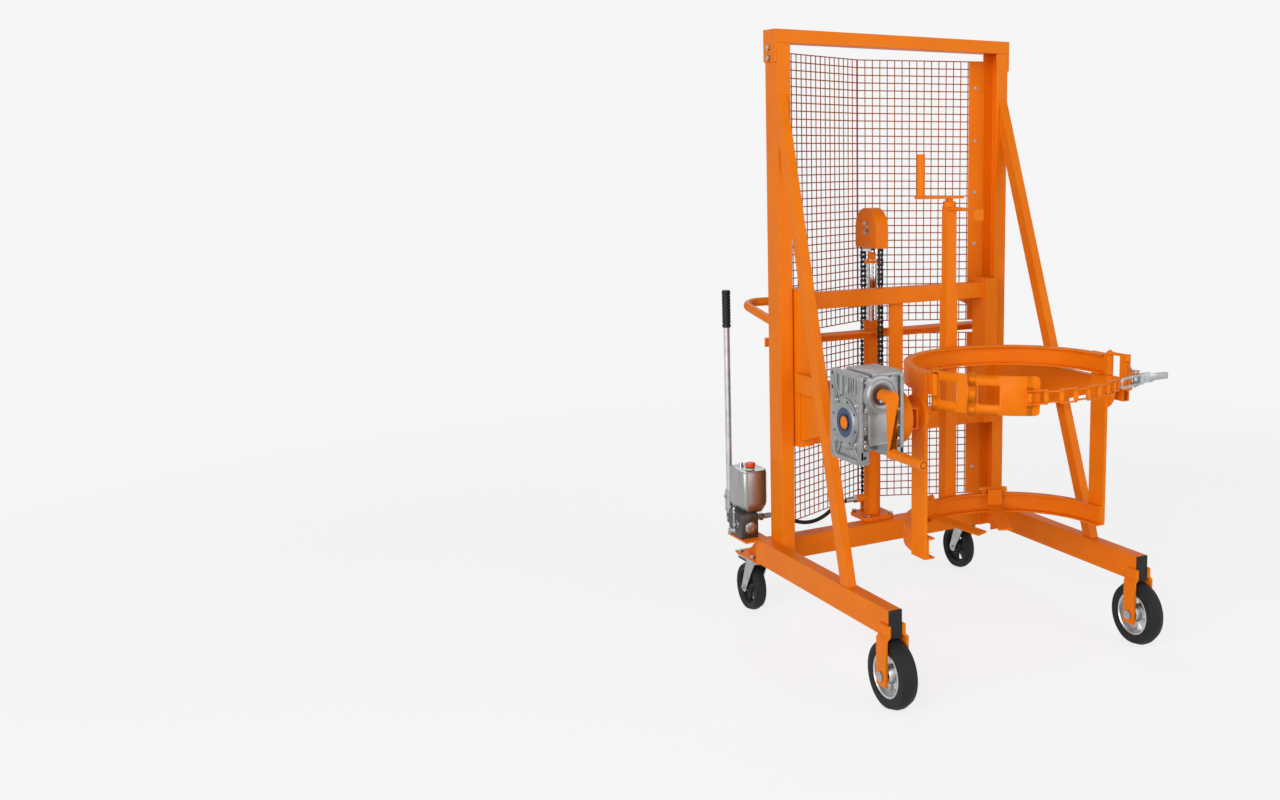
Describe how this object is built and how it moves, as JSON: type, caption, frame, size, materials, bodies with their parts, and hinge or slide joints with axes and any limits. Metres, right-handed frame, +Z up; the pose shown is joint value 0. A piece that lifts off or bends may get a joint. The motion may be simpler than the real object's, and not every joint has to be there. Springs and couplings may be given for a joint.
{
  "type": "drum tipper",
  "caption": "Hand-pumped drum tipper: a wheeled mast lifts a clamp of half rings with a belt, feet and top hook, and a crank and worm gearbox tips the drum.",
  "frame": {"origin": "on the floor under the middle of the bounding box", "axes": "+X to the machine's right as seen from behind it, -Y to the drum side, +Z up"},
  "size_m": [1.062, 1.3002, 1.88],
  "materials": {
    "orange_paint": "gloss",
    "black_plastic": "satin",
    "zinc": "satin",
    "chain_steel": "satin",
    "white_nylon": "satin",
    "black_rubber": "matt",
    "mesh_wire": "gloss",
    "tank_steel": "satin",
    "grey_casting": "satin",
    "chrome": "polished",
    "bronze": "satin",
    "red_plastic": "gloss"
  },
  "bodies": {
    "frame": {"left_leg": "orange_paint", "right_leg": "orange_paint", "leg_end_caps": "black_plastic", "left_post": "orange_paint", "right_post": "orange_paint", "rear_cross_beam": "orange_paint", "top_beam": "orange_paint", "braces": "orange_paint", "rear_brackets": "orange_paint", "front_wheel_forks": "orange_paint", "bolts_and_castor_plates": "zinc", "push_handle": "orange_paint", "crossbar": "orange_paint", "guard_strips": "orange_paint", "mesh_guard": "mesh_wire", "lift_cylinder": "orange_paint", "pump_block": "zinc", "oil_tank": "tank_steel", "hydraulic_hose": "black_rubber", "rear_chain": "chain_steel"},
    "ram": {"ram_rod": "chrome", "sheave_housing": "orange_paint", "front_chain": "chain_steel"},
    "sheave": {"sheave": "chain_steel"},
    "carriage": {"carriage_frame": "orange_paint", "left_arm": "orange_paint", "right_arm": "orange_paint", "gearbox_housing": "grey_casting"},
    "upper_rollers": {"upper_rollers": "white_nylon"},
    "lower_rollers": {"lower_rollers": "white_nylon"},
    "clamp": {"upper_ring": "orange_paint", "lower_ring": "orange_paint", "left_side_bar": "orange_paint", "right_side_bar": "orange_paint", "worm_wheel": "bronze", "hook_post_tube": "orange_paint"},
    "hook": {"hook_bar": "orange_paint"},
    "hook_crank": {"hook_crank": "orange_paint"},
    "left_foot": {"left_foot": "orange_paint"},
    "right_foot": {"right_foot": "orange_paint"},
    "belt_inner": {"belt_link_inner": "orange_paint"},
    "belt_outer": {"belt_link_outer": "orange_paint"},
    "belt_chain": {"belt_chain": "orange_paint"},
    "right_link": {"right_link": "orange_paint"},
    "latch_plate": {"latch_plate": "orange_paint"},
    "latch_lever": {"latch_lever": "zinc"},
    "latch_hook": {"latch_hook": "zinc"},
    "crank": {"hand_crank": "orange_paint", "worm_shaft": "chain_steel"},
    "pump_lever": {"pump_lever": "zinc"},
    "release_lever": {"release_lever": "zinc"},
    "filler_cap": {"filler_cap": "red_plastic"},
    "front_wheel_left": {"front_wheel_left": "black_rubber"},
    "castor_left": {"castor_fork_left": "zinc"},
    "castor_wheel_left": {"castor_wheel_left": "black_rubber"},
    "castor_brake_left": {"castor_brake_left": "black_plastic"},
    "front_wheel_right": {"front_wheel_right": "black_rubber"},
    "castor_right": {"castor_fork_right": "zinc"},
    "castor_wheel_right": {"castor_wheel_right": "black_rubber"},
    "castor_brake_right": {"castor_brake_right": "black_plastic"}
  },
  "joints": [
    {"name": "ram_lift", "type": "slide", "parent": "frame", "child": "ram", "axis": [0, 0, 1], "range_m": [-0.15, 0.365], "deforming": ["rear_chain"]},
    {"name": "carriage_lift", "type": "slide", "parent": "ram", "child": "carriage", "axis": [0, 0, 1], "range_m": [-0.15, 0.365], "deforming": ["front_chain"]},
    {"name": "sheave_turn", "type": "hinge", "parent": "ram", "child": "sheave", "pos_m": [0.037, 0.4752, 1.265], "axis": [1, 0, 0], "continuous": true},
    {"name": "upper_roller_turn", "type": "hinge", "parent": "carriage", "child": "upper_rollers", "pos_m": [0.037, 0.3472, 1], "axis": [1, 0, 0], "continuous": true},
    {"name": "lower_roller_turn", "type": "hinge", "parent": "carriage", "child": "lower_rollers", "pos_m": [0.037, 0.3472, 0.65], "axis": [1, 0, 0], "continuous": true},
    {"name": "tilt", "type": "hinge", "parent": "carriage", "child": "clamp", "pos_m": [0.037, -0.3228, 0.808], "axis": [1, 0, 0], "range_deg": [0, 130]},
    {"name": "crank_turn", "type": "hinge", "parent": "carriage", "child": "crank", "pos_m": [-0.461, -0.3228, 0.888], "axis": [0, 1, 0], "continuous": true},
    {"name": "hook_slide", "type": "slide", "parent": "clamp", "child": "hook", "axis": [0, 0, 1], "range_m": [-0.1, 0.12]},
    {"name": "hook_turn", "type": "hinge", "parent": "hook", "child": "hook_crank", "pos_m": [0.037, 0.0165, 1.37], "axis": [0, 0, 1], "continuous": true},
    {"name": "right_foot_hinge", "type": "hinge", "parent": "clamp", "child": "right_foot", "pos_m": [0.17289, -0.04417, 0.466], "axis": [-0.8988, 0.4384, 0], "range_deg": [0, 110]},
    {"name": "left_foot_hinge", "type": "hinge", "parent": "clamp", "child": "left_foot", "pos_m": [-0.07913, -0.03537, 0.466], "axis": [-0.9272, -0.3746, 0], "range_deg": [0, 110]},
    {"name": "belt_inner_hinge", "type": "hinge", "parent": "clamp", "child": "belt_inner", "pos_m": [-0.275, -0.3808, 0.882], "axis": [0, 0, 1], "range_deg": [-60, 0]},
    {"name": "belt_outer_hinge", "type": "hinge", "parent": "belt_inner", "child": "belt_outer", "pos_m": [-0.23065, -0.49266, 0.882], "axis": [0, 0, 1], "range_deg": [-50, 0]},
    {"name": "belt_chain_hinge", "type": "hinge", "parent": "belt_outer", "child": "belt_chain", "pos_m": [-0.12849, -0.61177, 0.882], "axis": [0, 0, 1], "range_deg": [-60, 0]},
    {"name": "right_link_hinge", "type": "hinge", "parent": "clamp", "child": "right_link", "pos_m": [0.349, -0.3808, 0.882], "axis": [0, 0, 1], "range_deg": [0, 60]},
    {"name": "latch_plate_hinge", "type": "hinge", "parent": "right_link", "child": "latch_plate", "pos_m": [0.355, -0.4528, 0.882], "axis": [0, 0, 1], "range_deg": [0, 70]},
    {"name": "latch_lever_hinge", "type": "hinge", "parent": "latch_plate", "child": "latch_lever", "pos_m": [0.31062, -0.53648, 0.88], "axis": [0, 0, 1], "range_deg": [0, 40]},
    {"name": "latch_hook_hinge", "type": "hinge", "parent": "latch_lever", "child": "latch_hook", "pos_m": [0.32504, -0.54724, 0.88], "axis": [0, 0, 1], "range_deg": [0, 90]},
    {"name": "pump_lever_swing", "type": "hinge", "parent": "frame", "child": "pump_lever", "pos_m": [-0.457, 0.5432, 0.33], "axis": [1, 0, 0], "range_deg": [-50, 0]},
    {"name": "release_turn", "type": "hinge", "parent": "frame", "child": "release_lever", "pos_m": [-0.483, 0.4572, 0.33], "axis": [1, 0, 0], "range_deg": [-80, 0]},
    {"name": "filler_cap_turn", "type": "hinge", "parent": "frame", "child": "filler_cap", "pos_m": [-0.433, 0.4492, 0.518], "axis": [0, 0, 1], "continuous": true},
    {"name": "front_wheel_left_turn", "type": "hinge", "parent": "frame", "child": "front_wheel_left", "pos_m": [-0.413, -0.3828, 0.1], "axis": [1, 0, 0], "continuous": true},
    {"name": "castor_left_swivel", "type": "hinge", "parent": "frame", "child": "castor_left", "pos_m": [-0.383, 0.5072, 0.18], "axis": [0, 0, 1], "continuous": true},
    {"name": "castor_wheel_left_turn", "type": "hinge", "parent": "castor_left", "child": "castor_wheel_left", "pos_m": [-0.383, 0.5572, 0.08], "axis": [1, 0, 0], "continuous": true},
    {"name": "castor_brake_left_pedal", "type": "hinge", "parent": "castor_left", "child": "castor_brake_left", "pos_m": [-0.383, 0.5272, 0.168], "axis": [1, 0, 0], "range_deg": [-7, 12]},
    {"name": "front_wheel_right_turn", "type": "hinge", "parent": "frame", "child": "front_wheel_right", "pos_m": [0.487, -0.3828, 0.1], "axis": [1, 0, 0], "continuous": true},
    {"name": "castor_right_swivel", "type": "hinge", "parent": "frame", "child": "castor_right", "pos_m": [0.457, 0.5072, 0.18], "axis": [0, 0, 1], "continuous": true},
    {"name": "castor_wheel_right_turn", "type": "hinge", "parent": "castor_right", "child": "castor_wheel_right", "pos_m": [0.457, 0.5572, 0.08], "axis": [1, 0, 0], "continuous": true},
    {"name": "castor_brake_right_pedal", "type": "hinge", "parent": "castor_right", "child": "castor_brake_right", "pos_m": [0.457, 0.5272, 0.168], "axis": [1, 0, 0], "range_deg": [-7, 12]}
  ],
  "couplings": [
    {"joint": "ram_lift", "follows": "carriage_lift", "ratio": 1},
    {"joint": "sheave_turn", "follows": "carriage_lift", "rad_per_m": -18.018},
    {"joint": "upper_roller_turn", "follows": "carriage_lift", "rad_per_m": 60.606},
    {"joint": "lower_roller_turn", "follows": "carriage_lift", "rad_per_m": -60.606},
    {"joint": "crank_turn", "follows": "tilt", "ratio": 30}
  ]
}
